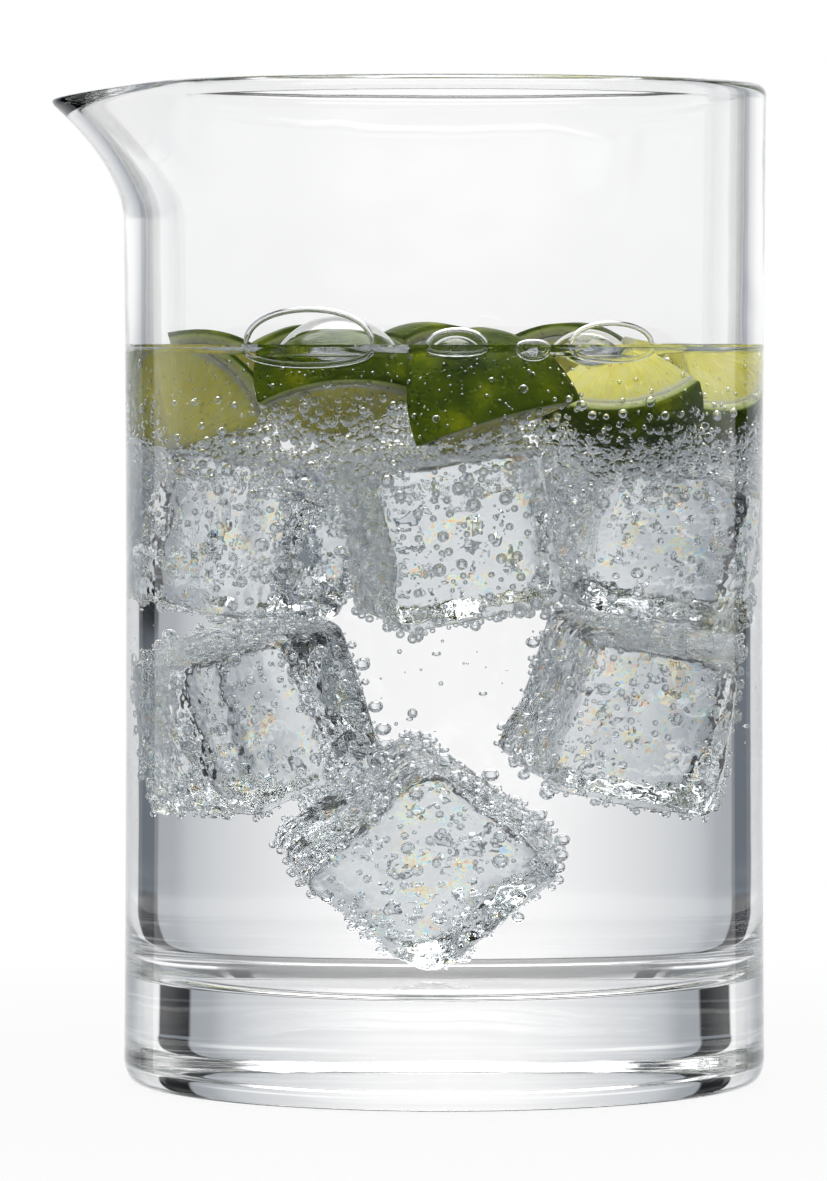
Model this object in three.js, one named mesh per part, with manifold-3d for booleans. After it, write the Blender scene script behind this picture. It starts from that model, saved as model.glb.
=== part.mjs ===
// A mixing jug of heavy clear glass with a pulled pouring lip, holding sparkling water, ice and lime.
// Millimetres, +Z up. The origin is the centre of the underside and the lip points along -X.
import * as THREE from "three";
import { RoundedBoxGeometry } from "three/addons/geometries/RoundedBoxGeometry.js";
import { mergeVertices } from "three/addons/utils/BufferGeometryUtils.js";
import Module from "manifold-3d";

// The glass
const JUG_HEIGHT = 140.6;
const JUG_DIAMETER = 90; // outside, at the waist
const WAIST_DRAW = 0.4; // the radius is this much larger at the foot and the rim
const WALL = 3;
const BASE_THICKNESS = 14.5;
const FOOT_INSET = 1.8; // how far the outer corner under the wall is drawn in
const FOOT_RISE = 3.4; // how far up the wall that rounding begins
const FLOOR_ROUND = 6.5; // inner corner between wall and floor

// The pouring lip, pulled out of the rim
const LIP_REACH = 10.8;
const LIP_DROP = 2;
const LIP_DEPTH = 19; // how far below the rim the pull begins
const LIP_HALF_ANGLE = 38;
const LIP_CURVE = 1.7; // how late the wall turns outwards on its way up

// The drink
const FILL_LEVEL = 102.8;
const MENISCUS_RISE = 1.2;
const MENISCUS_WIDTH = 3.2;

// The ice
const ICE_EDGE = 22.2;
const ICE_ROUND = 2.4;
const DIMPLE_DIAMETER = 13;
const DIMPLE_DEPTH = 2;
const ICE_FREEBOARD = 1.5; // how far a free cube stands out of the water

// The lime, cut into eighths
const LIME_DIAMETER = 31;
const LIME_LENGTH = 34;
const PEEL = 2;
const WEDGE_BALANCE = 0.19; // from the tip of a wedge to its middle, as a share of the fruit

// Clearances
const WATER_GAP = 0.3; // between the water and all that it touches
const FLOAT_GAP = 0.5; // between floating pieces that touch
const WALL_GAP = 1.2; // between the glass and what floats in the water
const SEAM_GAP = 0.3; // between the peel and the flesh

// How finely the round forms are faceted
const JUG_SIDES = 64;
const WALL_STEPS = 5;
const LIP_STEPS = 7;
const CORNER_STEPS = 4;
const RIM_STEPS = 5;
const MENISCUS_STEPS = 3;
const ICE_SMOOTHNESS = 1;
const LIME_SIDES = 24;
const LIME_RINGS = 16;
const DIMPLE_SIDES = 18;

// How closely a floating piece is moved up to what stops it
const RISE_STEP = 2;
const RISE_TOLERANCE = 0.02;

// Bearings are degrees round the jug from +X, and share is how far out the piece lies towards the wall.
// The rind of a wedge looks along heading and elevation, and spin turns the wedge about that line.
const LIME_WEDGES = [
  { bearing: 240, share: 1, heading: 264, elevation: 68, spin: 0, freeboard: 3.6 },
  { bearing: 278, share: 1, heading: 268, elevation: 46, spin: 26, freeboard: 3.6 },
  { bearing: 324, share: 1, heading: 294, elevation: -74, spin: 45, freeboard: 2.6 },
  { bearing: 4, share: 1, heading: 35, elevation: -64, spin: 0, freeboard: 2.6 },
  { bearing: 48, share: 1, heading: 52, elevation: 60, spin: 80, freeboard: 4.4 },
  { bearing: 94, share: 1, heading: 95, elevation: 66, spin: 20, freeboard: 4.6 },
  { bearing: 141, share: 1, heading: 138, elevation: 58, spin: 100, freeboard: 4.2 },
  { bearing: 191, share: 1, heading: 60, elevation: 50, spin: 0, freeboard: 3.4 },
];

// The turns are degrees about X, Y and Z. The upper cubes come first, because they stop the lower ones.
const ICE_CUBES = [
  { bearing: 174, share: 0.98, turns: [5, 8, 40] },
  { bearing: 272, share: 0.98, turns: [8, -8, 14] },
  { bearing: 8, share: 0.95, turns: [10, 18, 26] },
  { bearing: 195, share: 0.95, turns: [6, -17, 32] },
  { bearing: 345, share: 0.95, turns: [8, 17, 22] },
  { bearing: 250, share: 0.3, turns: [10, 44, 8] },
];

const wasm = await Module();
wasm.setup();

const radians = THREE.MathUtils.degToRad;

// Turns a three.js geometry into a solid that can be cut and joined.
function solidOf(geometry) {
  const bare = geometry.clone();
  bare.deleteAttribute("normal");
  bare.deleteAttribute("uv");
  const merged = mergeVertices(bare);
  const corners = merged.index.array;
  const kept = [];
  for (let i = 0; i < corners.length; i += 3) {
    const [a, b, c] = corners.slice(i, i + 3);
    if (a !== b && b !== c && c !== a) kept.push(a, b, c);
  }
  const mesh = new wasm.Mesh({
    numProp: 3,
    vertProperties: new Float32Array(merged.attributes.position.array),
    triVerts: new Uint32Array(kept),
  });
  return new wasm.Manifold(mesh);
}

function geometryOf(solid) {
  const mesh = solid.getMesh();
  const geometry = new THREE.BufferGeometry();
  geometry.setAttribute("position", new THREE.BufferAttribute(mesh.vertProperties, 3));
  geometry.setIndex(new THREE.BufferAttribute(mesh.triVerts, 1));
  geometry.computeVertexNormals();
  return geometry;
}

function named(name, geometry, look) {
  const mesh = new THREE.Mesh(geometry, new THREE.MeshStandardMaterial(look));
  mesh.name = name;
  return mesh;
}

// The wall is slightly waisted: its outer radius grows from mid height towards both ends.
function outerRadius(height) {
  const fromMiddle = (2 * height) / JUG_HEIGHT - 1;
  return JUG_DIAMETER / 2 + WAIST_DRAW * fromMiddle ** 2;
}

function innerRadius(height) {
  return outerRadius(height) - WALL;
}

// Heights where the wall gets a ring of points: a few up to the lip, then closer together.
function wallHeights(from, to) {
  const lipStart = JUG_HEIGHT - LIP_DEPTH;
  const heights = [];
  for (let i = 0; i < WALL_STEPS; i += 1) {
    heights.push(THREE.MathUtils.lerp(from, lipStart, i / WALL_STEPS));
  }
  for (let i = 0; i <= LIP_STEPS; i += 1) {
    heights.push(THREE.MathUtils.lerp(lipStart, to, i / LIP_STEPS));
  }
  return heights;
}

// Points on an arc of a circle or an ellipse in the profile, without its first point.
function arc(centreX, centreY, [across, up], fromDegrees, toDegrees, steps) {
  const points = [];
  for (let i = 1; i <= steps; i += 1) {
    const angle = radians(THREE.MathUtils.lerp(fromDegrees, toDegrees, i / steps));
    points.push(new THREE.Vector2(centreX + across * Math.cos(angle), centreY + up * Math.sin(angle)));
  }
  return points;
}

// Revolves a profile, given from the axis back to the axis, about Z.
function revolved(profile, sides) {
  const geometry = new THREE.LatheGeometry(profile, sides);
  geometry.rotateX(Math.PI / 2);
  return geometry;
}

// The outer half of the profile runs up from the underside, over the rim and down to the floor.
function jugProfile() {
  const rimCentre = JUG_HEIGHT - WALL / 2;
  const footX = outerRadius(FOOT_RISE) - FOOT_INSET;
  const floorX = innerRadius(BASE_THICKNESS + FLOOR_ROUND) - FLOOR_ROUND;
  const floorY = BASE_THICKNESS + FLOOR_ROUND;
  const outside = wallHeights(FOOT_RISE, rimCentre).slice(1);
  const inside = wallHeights(floorY, rimCentre).reverse().slice(1);
  return [
    new THREE.Vector2(0, 0),
    new THREE.Vector2(footX, 0),
    ...arc(footX, FOOT_RISE, [FOOT_INSET, FOOT_RISE], -90, 0, CORNER_STEPS),
    ...outside.map((height) => new THREE.Vector2(outerRadius(height), height)),
    ...arc(outerRadius(rimCentre) - WALL / 2, rimCentre, [WALL / 2, WALL / 2], 0, 180, RIM_STEPS),
    ...inside.map((height) => new THREE.Vector2(innerRadius(height), height)),
    ...arc(floorX, floorY, [FLOOR_ROUND, FLOOR_ROUND], 0, -90, CORNER_STEPS),
    new THREE.Vector2(0, BASE_THICKNESS),
  ];
}

// Pulls the rim outwards and a little down on the -X side, as a glass worker draws a lip from hot glass.
function pullLip(geometry) {
  const points = geometry.attributes.position;
  for (let i = 0; i < points.count; i += 1) {
    const [x, y, z] = [points.getX(i), points.getY(i), points.getZ(i)];
    const climb = THREE.MathUtils.clamp((z - JUG_HEIGHT + LIP_DEPTH) / LIP_DEPTH, 0, 1);
    const aside = Math.abs(Math.atan2(y, -x)) / radians(LIP_HALF_ANGLE);
    const share = aside < 1 ? Math.cos((aside * Math.PI) / 2) ** 2 * climb ** LIP_CURVE : 0;
    const radius = Math.hypot(x, y);
    const stretch = radius > 0 ? (radius + LIP_REACH * share) / radius : 1;
    points.setXYZ(i, x * stretch, y * stretch, z - LIP_DROP * share);
  }
  geometry.computeVertexNormals();
  return geometry;
}

function jugGlass() {
  const geometry = pullLip(revolved(jugProfile(), JUG_SIDES));
  return named("jug_glass", geometryOf(solidOf(geometry)), {
    color: 0xe9f1f2,
    roughness: 0.03,
    transparent: true,
    opacity: 0.3,
  });
}

// An ice cube swollen by grow on every side. Only the cube itself has the dimple, in its +X face.
function iceSolid(grow) {
  const edge = ICE_EDGE + 2 * grow;
  const block = solidOf(new RoundedBoxGeometry(edge, edge, edge, ICE_SMOOTHNESS, ICE_ROUND + grow));
  if (grow > 0) return block;
  const ballRadius = DIMPLE_DIAMETER ** 2 / (8 * DIMPLE_DEPTH) + DIMPLE_DEPTH / 2;
  const ball = new THREE.SphereGeometry(ballRadius, DIMPLE_SIDES * 2, DIMPLE_SIDES);
  ball.translate(ICE_EDGE / 2 + ballRadius - DIMPLE_DEPTH, 0, 0);
  return block.subtract(solidOf(ball));
}

// The lime as a whole fruit, drawn in by inset, with its length along Z.
function limeBody(inset) {
  const ball = new THREE.SphereGeometry(1, LIME_SIDES, LIME_RINGS);
  ball.rotateX(Math.PI / 2);
  ball.scale(LIME_DIAMETER / 2 - inset, LIME_DIAMETER / 2 - inset, LIME_LENGTH / 2 - inset);
  return solidOf(ball);
}

// The eighth of the space that a wedge fills. Its corner sits so that the wedge balances on its origin.
function wedgeCorner() {
  const aside = -WEDGE_BALANCE * LIME_DIAMETER;
  return [aside, aside, -WEDGE_BALANCE * LIME_LENGTH];
}

function eighth(grow) {
  const span = LIME_DIAMETER + LIME_LENGTH;
  const block = new THREE.BoxGeometry(span, span, span);
  block.translate(span / 2 - grow, span / 2 - grow, span / 2 - grow);
  return solidOf(block);
}

function wedgeSolid(grow) {
  return limeBody(-grow).intersect(eighth(grow)).translate(wedgeCorner());
}

function peelSolid() {
  return limeBody(0).subtract(limeBody(PEEL)).intersect(eighth(0)).translate(wedgeCorner());
}

function fleshSolid() {
  return limeBody(PEEL + SEAM_GAP).intersect(eighth(0)).translate(wedgeCorner());
}

// Turns the rind, which looks along (1, 1, 1) in the wedge, to a heading and an elevation.
function wedgeTurn({ heading, elevation, spin }) {
  const level = Math.cos(radians(elevation));
  const towards = new THREE.Vector3(
    level * Math.cos(radians(heading)),
    level * Math.sin(radians(heading)),
    Math.sin(radians(elevation)),
  );
  const rind = new THREE.Vector3(1, 1, 1).normalize();
  const turn = new THREE.Quaternion().setFromUnitVectors(rind, towards);
  return new THREE.Quaternion().setFromAxisAngle(towards, radians(spin)).multiply(turn);
}

function cubeTurn({ turns }) {
  return new THREE.Quaternion().setFromEuler(new THREE.Euler(...turns.map(radians)));
}

function turned(solid, turn) {
  return solid.transform(new THREE.Matrix4().makeRotationFromQuaternion(turn).elements);
}

function cornersOf(solid) {
  const { vertProperties } = solid.getMesh();
  const corners = [];
  for (let i = 0; i < vertProperties.length; i += 3) {
    corners.push(new THREE.Vector3(vertProperties[i], vertProperties[i + 1], vertProperties[i + 2]));
  }
  return corners;
}

// How far a piece can move from the axis along a bearing before it meets the wall.
function roomTowards(solid, bearing) {
  const limit = innerRadius(JUG_HEIGHT / 2) - WALL_GAP;
  const [outX, outY] = [Math.cos(bearing), Math.sin(bearing)];
  const rooms = cornersOf(solid).map(({ x, y }) => {
    const along = x * outX + y * outY;
    return Math.sqrt(Math.max(along ** 2 - x ** 2 - y ** 2 + limit ** 2, 0)) - along;
  });
  return Math.max(Math.min(...rooms), 0);
}

function overlaps(one, other) {
  const [a, b] = [one.boundingBox(), other.boundingBox()];
  const apart = [0, 1, 2].some((k) => a.max[k] < b.min[k] || b.max[k] < a.min[k]);
  return !apart && !one.intersect(other).isEmpty();
}

// Moves a piece from a clear height towards its goal and stops it where it would touch another.
function approach(swollen, start, goal, others) {
  const blocked = (height) => others.some((other) => overlaps(swollen.translate([0, 0, height]), other));
  let free = start;
  let next = start;
  while (next !== goal && !blocked(next)) {
    free = next;
    next = THREE.MathUtils.clamp(goal, free - RISE_STEP, free + RISE_STEP);
  }
  if (!blocked(next)) return next;
  while (Math.abs(next - free) > RISE_TOLERANCE) {
    const middle = (free + next) / 2;
    if (blocked(middle)) next = middle;
    else free = middle;
  }
  return free;
}

// A floating piece out along its bearing, at height zero, with its solid at any height and growth.
function afloat(makeSolid, turn, { bearing, share }) {
  const out = radians(bearing);
  const swollen = turned(makeSolid(FLOAT_GAP), turn);
  const distance = share * roomTowards(swollen, out);
  const position = new THREE.Vector3(distance * Math.cos(out), distance * Math.sin(out), 0);
  const solid = (grow) => turned(makeSolid(grow), turn).translate(position.toArray());
  return { turn, position, solid };
}

function heightAfloat(swollen, freeboard) {
  return FILL_LEVEL + freeboard - (swollen.boundingBox().max[2] - FLOAT_GAP);
}

// A cube rises from below all the others to the surface, or to what stops it on the way.
function riseCube(cube, others) {
  const swollen = cube.solid(FLOAT_GAP);
  const lowest = Math.min(...others.map((other) => other.boundingBox().min[2]));
  const start = lowest - swollen.boundingBox().max[2];
  cube.position.z = approach(swollen, start, heightAfloat(swollen, ICE_FREEBOARD), others);
  others.push(cube.solid(0));
}

// A wedge sinks from above all the others to its place in the surface, or onto what stops it.
function setDownWedge(wedge, freeboard, others) {
  wedge.position.z = 0;
  const swollen = wedge.solid(FLOAT_GAP);
  const tops = others.map((other) => other.boundingBox().max[2] - swollen.boundingBox().min[2]);
  const goal = heightAfloat(swollen, freeboard);
  wedge.position.z = approach(swollen, Math.max(goal, ...tops), goal, others);
  others.push(wedge.solid(0));
}

// Height of the inside of the jug at a distance from the axis, over its rounded inner corner.
function floorHeight(distance) {
  const roundStart = innerRadius(BASE_THICKNESS + FLOOR_ROUND) - FLOOR_ROUND;
  const into = THREE.MathUtils.clamp(distance - roundStart, 0, FLOOR_ROUND);
  return BASE_THICKNESS + FLOOR_ROUND - Math.sqrt(FLOOR_ROUND ** 2 - into ** 2);
}

// How far the pile of cubes has to be lifted to clear the floor.
function liftOffFloor(cubes) {
  const corners = cubes.flatMap((cube) => cornersOf(cube.solid(0)));
  const short = corners.map(({ x, y, z }) => floorHeight(Math.hypot(x, y)) + WALL_GAP - z);
  return Math.max(0, ...short);
}

// The wedges float in the surface and the cubes rise under them. Where there is too little water for
// the whole pile, it stands on the floor instead, and the wedges lie in the water or on the cubes.
function floatAll() {
  const limes = LIME_WEDGES.map((spot) => afloat(wedgeSolid, wedgeTurn(spot), spot));
  const cubes = ICE_CUBES.map((spot) => afloat(iceSolid, cubeTurn(spot), spot));
  const others = [];
  limes.forEach((lime, index) => setDownWedge(lime, LIME_WEDGES[index].freeboard, others));
  cubes.forEach((cube) => riseCube(cube, others));
  const lift = liftOffFloor(cubes);
  if (lift > 0) {
    for (const cube of cubes) cube.position.z += lift;
    const lifted = cubes.map((cube) => cube.solid(0));
    limes.forEach((lime, index) => setDownWedge(lime, LIME_WEDGES[index].freeboard, lifted));
  }
  return { limes, cubes };
}

// The water stands a clearance off the glass and climbs a little where it meets the wall.
function waterProfile() {
  const floorY = BASE_THICKNESS + FLOOR_ROUND;
  const floorX = innerRadius(floorY) - FLOOR_ROUND;
  const round = FLOOR_ROUND - WATER_GAP;
  const edgeHeight = FILL_LEVEL + MENISCUS_RISE;
  const points = [
    new THREE.Vector2(0, BASE_THICKNESS + WATER_GAP),
    new THREE.Vector2(floorX, BASE_THICKNESS + WATER_GAP),
    ...arc(floorX, floorY, [round, round], -90, 0, CORNER_STEPS),
  ];
  for (let i = 1; i <= WALL_STEPS; i += 1) {
    const height = THREE.MathUtils.lerp(floorY, edgeHeight, i / WALL_STEPS);
    points.push(new THREE.Vector2(innerRadius(height) - WATER_GAP, height));
  }
  const edge = innerRadius(edgeHeight) - WATER_GAP;
  for (let i = 1; i <= MENISCUS_STEPS; i += 1) {
    const inward = i / MENISCUS_STEPS;
    const height = FILL_LEVEL + MENISCUS_RISE * (1 - inward) ** 2;
    points.push(new THREE.Vector2(edge - MENISCUS_WIDTH * inward, height));
  }
  points.push(new THREE.Vector2(0, FILL_LEVEL));
  return points;
}

// Water all round the floating pieces, without drops that they cut off.
function sparklingWater(pieces) {
  let water = solidOf(revolved(waterProfile(), JUG_SIDES));
  for (const piece of pieces) water = water.subtract(piece.solid(WATER_GAP));
  const bodies = water.decompose();
  bodies.sort((one, other) => other.volume() - one.volume());
  return named("sparkling_water", geometryOf(bodies[0]), {
    color: 0xdfeef0,
    roughness: 0.04,
    transparent: true,
    opacity: 0.35,
  });
}

function iceCube(name, { turn, position }) {
  const mesh = named(name, geometryOf(iceSolid(0)), {
    color: 0xf2f7f9,
    roughness: 0.1,
    transparent: true,
    opacity: 0.55,
  });
  mesh.quaternion.copy(turn);
  mesh.position.copy(position);
  return mesh;
}

function limeWedge(number, { turn, position }) {
  const wedge = new THREE.Group();
  wedge.name = `lime_wedge_${number}`;
  wedge.add(named(`lime_peel_${number}`, geometryOf(peelSolid()), { color: 0x3f6b17, roughness: 0.35 }));
  wedge.add(named(`lime_flesh_${number}`, geometryOf(fleshSolid()), { color: 0xc3c67a, roughness: 0.3 }));
  wedge.quaternion.copy(turn);
  wedge.position.copy(position);
  return wedge;
}

const { limes, cubes } = floatAll();
const drink = new THREE.Group();
drink.name = "drink";
drink.add(sparklingWater([...limes, ...cubes]));
cubes.forEach((cube, index) => drink.add(iceCube(`ice_cube_${index + 1}`, cube)));
limes.forEach((lime, index) => drink.add(limeWedge(index + 1, lime)));

const jug = new THREE.Group();
jug.name = "mixing_jug";
jug.add(jugGlass());
jug.add(drink);

export default jug;
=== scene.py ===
import math
import random

import bpy
import numpy as np
from mathutils import Matrix, Vector, noise
from mathutils.bvhtree import BVHTree


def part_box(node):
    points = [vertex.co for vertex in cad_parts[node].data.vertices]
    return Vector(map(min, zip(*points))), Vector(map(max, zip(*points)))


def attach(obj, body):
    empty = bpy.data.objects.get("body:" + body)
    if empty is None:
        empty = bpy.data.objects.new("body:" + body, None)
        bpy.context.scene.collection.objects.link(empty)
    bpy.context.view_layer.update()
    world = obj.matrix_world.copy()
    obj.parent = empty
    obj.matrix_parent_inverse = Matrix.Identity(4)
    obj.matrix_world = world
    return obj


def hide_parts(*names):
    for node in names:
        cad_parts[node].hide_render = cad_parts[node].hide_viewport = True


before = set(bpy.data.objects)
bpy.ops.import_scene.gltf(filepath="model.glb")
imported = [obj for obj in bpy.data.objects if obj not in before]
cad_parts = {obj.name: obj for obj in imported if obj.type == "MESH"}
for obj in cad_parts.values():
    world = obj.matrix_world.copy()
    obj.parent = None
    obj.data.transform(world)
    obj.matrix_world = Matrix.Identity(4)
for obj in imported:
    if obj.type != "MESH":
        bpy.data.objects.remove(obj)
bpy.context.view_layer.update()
mm = 0.001
print("frame loaded with", len(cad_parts), "nodes")


# node trees

def fillRamp(ramp, stops):
    while len(ramp.elements) > 1:
        ramp.elements.remove(ramp.elements[-1])
    for index, (place, colour) in enumerate(stops):
        stop = ramp.elements[0] if index == 0 else ramp.elements.new(place)
        stop.position = place
        stop.color = (*colour, 1)


def findSocket(sockets, key):
    shown = [socket for socket in sockets if socket.enabled]
    if isinstance(key, int):
        return shown[key]
    return next(socket for socket in shown if socket.name == key)


class Wire:
    # a socket in a node tree: maths on it adds Math nodes, and node() adds any other node
    def __init__(self, tree, socket=None):
        self.tree = tree
        self.socket = socket

    def node(self, kind, settings=None, sockets=None, output=0):
        made = self.tree.nodes.new(kind)
        for key, value in (settings or {}).items():
            if key == "stops":
                fillRamp(made.color_ramp, value)
            else:
                setattr(made, key, value)
        for key, value in (sockets or {}).items():
            target = findSocket(made.inputs, key)
            wires = value if isinstance(value, list) else [value]
            if isinstance(wires[0], Wire):
                for wire in wires:
                    self.tree.links.new(wire.socket, target)
            else:
                target.default_value = value
        return Wire(self.tree, findSocket(made.outputs, output) if made.outputs else None)

    def out(self, name):
        return Wire(self.tree, findSocket(self.socket.node.outputs, name))

    def maths(self, operation, *others):
        return self.node("ShaderNodeMath", {"operation": operation}, dict(enumerate((self, *others))))

    def clamped(self):
        return self.node("ShaderNodeMath", {"operation": "ADD", "use_clamp": True}, {0: self, 1: 0})

    def __add__(self, other):
        return self.maths("ADD", other)

    __radd__ = __add__

    def __sub__(self, other):
        return self.maths("SUBTRACT", other)

    def __rsub__(self, other):
        return self.node("ShaderNodeMath", {"operation": "SUBTRACT"}, {0: other, 1: self})

    def __mul__(self, other):
        return self.maths("MULTIPLY", other)

    __rmul__ = __mul__

    def __truediv__(self, other):
        return self.maths("DIVIDE", other)

    def __rtruediv__(self, other):
        return self.node("ShaderNodeMath", {"operation": "DIVIDE"}, {0: other, 1: self})

    def __pow__(self, other):
        return self.maths("POWER", other)


def blend(bench, share, one, other):
    return bench.node("ShaderNodeMix", {"data_type": "RGBA"}, {"Factor": share, "A": one, "B": other})


def rise(bench, value, low, high):
    return bench.node("ShaderNodeMapRange", {"interpolation_type": "SMOOTHSTEP"},
                      {"Value": value, "From Min": low, "From Max": high})


def slide(bench, value, low, high, start, end):
    return bench.node("ShaderNodeMapRange", {}, {"Value": value, "From Min": low, "From Max": high,
                                                 "To Min": start, "To Max": end})


def rampOf(bench, value, stops):
    return bench.node("ShaderNodeValToRGB", {"stops": stops}, {0: value})


def partsOf(bench, vector, axis):
    return bench.node("ShaderNodeSeparateXYZ", {}, {0: vector}, axis)


def vectorOf(bench, operation, sockets, output=0):
    return bench.node("ShaderNodeVectorMath", {"operation": operation}, sockets, output)


def startFinish(name):
    material = bpy.data.materials.new(name)
    material.use_nodes = True
    material.node_tree.nodes.clear()
    return material, Wire(material.node_tree)


def endFinish(material, bench, surface):
    bench.node("ShaderNodeOutputMaterial", {}, {"Surface": surface})
    return material


def objectPlace(bench):
    return bench.node("ShaderNodeTexCoord", {}, {}, "Object")


def noiseOf(bench, place, size, detail):
    return bench.node("ShaderNodeTexNoise", {}, {"Vector": place, "Scale": 1 / size, "Detail": detail})


def bumpOf(bench, height, distance, normal=None):
    sockets = {"Height": height, "Distance": distance, "Strength": 1}
    if normal is not None:
        sockets["Normal"] = normal
    return bench.node("ShaderNodeBump", {}, sockets)


def startTree(name, sizes):
    tree = bpy.data.node_groups.new(name, "GeometryNodeTree")
    tree.interface.new_socket("Geometry", in_out="INPUT", socket_type="NodeSocketGeometry")
    tree.interface.new_socket("Geometry", in_out="OUTPUT", socket_type="NodeSocketGeometry")
    for label, value in sizes.items():
        kind = "NodeSocketInt" if isinstance(value, int) else "NodeSocketFloat"
        tree.interface.new_socket(label, in_out="INPUT", socket_type=kind)
    bench = Wire(tree)
    return bench, bench.node("NodeGroupInput", {}, {}, "Geometry")


def endTree(bench, shape, finish):
    smooth = bench.node("GeometryNodeSetShadeSmooth", {}, {"Geometry": shape, "Shade Smooth": True})
    solid = bench.node("GeometryNodeRealizeInstances", {}, {"Geometry": smooth})
    painted = bench.node("GeometryNodeSetMaterial", {}, {"Geometry": solid, "Material": finish})
    bench.node("NodeGroupOutput", {}, {"Geometry": painted})


def settle(piece, bench, sizes):
    modifier = piece.modifiers.new(bench.tree.name, "NODES")
    modifier.node_group = bench.tree
    for item in bench.tree.interface.items_tree:
        if item.in_out == "INPUT" and item.name in sizes:
            modifier[item.identifier] = sizes[item.name]
    graph = bpy.context.evaluated_depsgraph_get()
    plain = bpy.data.meshes.new_from_object(piece.evaluated_get(graph))
    piece.modifiers.clear()
    piece.data = plain


# mesh helpers

def pieceFrom(name, points, faces, finish=None):
    mesh = bpy.data.meshes.new(name)
    mesh.from_pydata([tuple(point) for point in points], [], faces)
    mesh.polygons.foreach_set("use_smooth", [True] * len(mesh.polygons))
    if finish:
        mesh.materials.append(finish)
    piece = bpy.data.objects.new(name, mesh)
    bpy.context.scene.collection.objects.link(piece)
    return piece


def arcPoints(centreR, centreZ, across, up, fromDegrees, toDegrees, steps):
    turns = [math.radians(fromDegrees + (toDegrees - fromDegrees) * i / steps) for i in range(1, steps + 1)]
    return [(centreR + across * math.cos(turn), centreZ + up * math.sin(turn)) for turn in turns]


def ringPoints(profile, sides):
    turns = [2 * math.pi * side / sides for side in range(sides)]
    return [(radius * math.cos(turn), radius * math.sin(turn), height)
            for radius, height in profile for turn in turns]


def sleeveFaces(rings, sides):
    # faces between rings of points, looking inwards
    faces = []
    for low in range(0, (rings - 1) * sides, sides):
        for side in range(sides):
            after = (side + 1) % sides
            faces.append((low + side, low + sides + side, low + sides + after, low + after))
    return faces


def turnedShape(profile, sides):
    # a profile from axis to axis, turned about Z, with one point at each pole
    points = [(0, 0, profile[0][1])] + ringPoints(profile[1:-1], sides) + [(0, 0, profile[-1][1])]
    faces = []
    rings = len(profile) - 2
    last = len(points) - 1
    for side in range(sides):
        after = (side + 1) % sides
        faces.append((0, 1 + after, 1 + side))
        for ring in range(rings - 1):
            low = 1 + ring * sides
            high = low + sides
            faces.append((low + side, low + after, high + after, high + side))
        top = 1 + (rings - 1) * sides
        faces.append((top + side, top + after, last))
    return points, faces


def waves(place, size, seed):
    return noise.noise(Vector(place) / size + Vector((seed * 7.3, seed * 3.1, seed * 5.7)))


flatSlack = {"turn": 0.9998, "offset": 0.05 * mm}


def flatFacesOf(node):
    # the flat faces of a CAD node as outward direction, offset and area, largest first
    flats = []
    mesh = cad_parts[node].data
    for polygon in sorted(mesh.polygons, key=lambda face: -face.area):
        offset = polygon.normal.dot(polygon.center)
        for flat in flats:
            level = abs(flat["offset"] - offset) < flatSlack["offset"]
            if level and flat["out"].dot(polygon.normal) > flatSlack["turn"]:
                flat["area"] += polygon.area
                break
        else:
            flats.append({"out": polygon.normal.copy(), "offset": offset, "area": polygon.area})
    return sorted(flats, key=lambda flat: -flat["area"])


def reachAlong(node, axis):
    spans = [vertex.co.dot(axis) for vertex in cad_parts[node].data.vertices]
    return min(spans), max(spans)


# camera, at the height and distance from which the photograph was taken

cameraPlace = {"aside": -4.35 * mm, "distance": 1.0, "height": 105.7 * mm, "tilt": 2.092, "lens": 215.7}


def makeCamera():
    data = bpy.data.cameras.new("photoCamera")
    data.lens = cameraPlace["lens"]
    data.clip_start, data.clip_end = 0.05, 50
    camera = bpy.data.objects.new("photoCamera", data)
    camera.location = (cameraPlace["aside"], -cameraPlace["distance"], cameraPlace["height"])
    camera.rotation_euler = (math.radians(90 - cameraPlace["tilt"]), 0, 0)
    bpy.context.scene.collection.objects.link(camera)
    bpy.context.scene.camera = camera


# studio: a white room with dark strips left and right behind the jug, and a white floor. Angles are
# degrees from straight behind the jug, or above the horizon. "far" is a thin band above the horizon.

studio = {
    "plain": 0.85,  # for rays that are neither the camera's, mirrored nor bent
    "nearWhite": [(0, 1.0), (8, 0.97), (18, 0.79), (25, 0.68), (30, 0.58), (34, 0.42), (38.5, 0.38)],
    "farWhite": [(0, 1.0), (23, 1.0), (29, 0.85), (34, 0.6), (38.5, 0.4)],
    "nearSides": [(52.5, 0.95), (60, 0.92), (66, 0.75), (72, 0.42), (92, 0.12), (112, 0.06), (180, 0.08)],
    "farSides": [(52.5, 0.78), (75, 0.6), (120, 0.5), (150, 0.8), (180, 0.85)],
    "farLow": (-0.8, 0.4),
    "farHigh": (2.3, 3.2),
    "backdrop": {"low": (-14, -9), "drop": 18, "width": (44, 62), "high": (27, 38), "beyond": 0.1},
    "ceiling": {"from": 44, "to": 54, "level": 4.2},
    "ground": {"from": -44, "to": -54, "level": 0.12},
    "strips": {"inner": (38.9, 40.3), "outer": (50.5, 51.9), "top": (58, 72), "dark": 0.99,
               "haze": {"low": (-5.3, -5.0), "high": (-2.8, -2.2), "level": 0.17}},
    "sideLight": {"aside": (66, 84), "top": (-9, -6), "level": 0.3},
    "frontLight": {"aside": (116, 128), "gap": (9, 14), "top": (24, 32), "foot": (-60, -50), "level": 1.4},
    "floorSize": 12,
    "floorDrop": 0.2 * mm,
    "floorColour": (0.9, 0.9, 0.9, 1),
    "floorWhite": 0.9,  # share of plain white that hides the shadow
    "shadowEdge": (0.08, 0.24),
}


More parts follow.
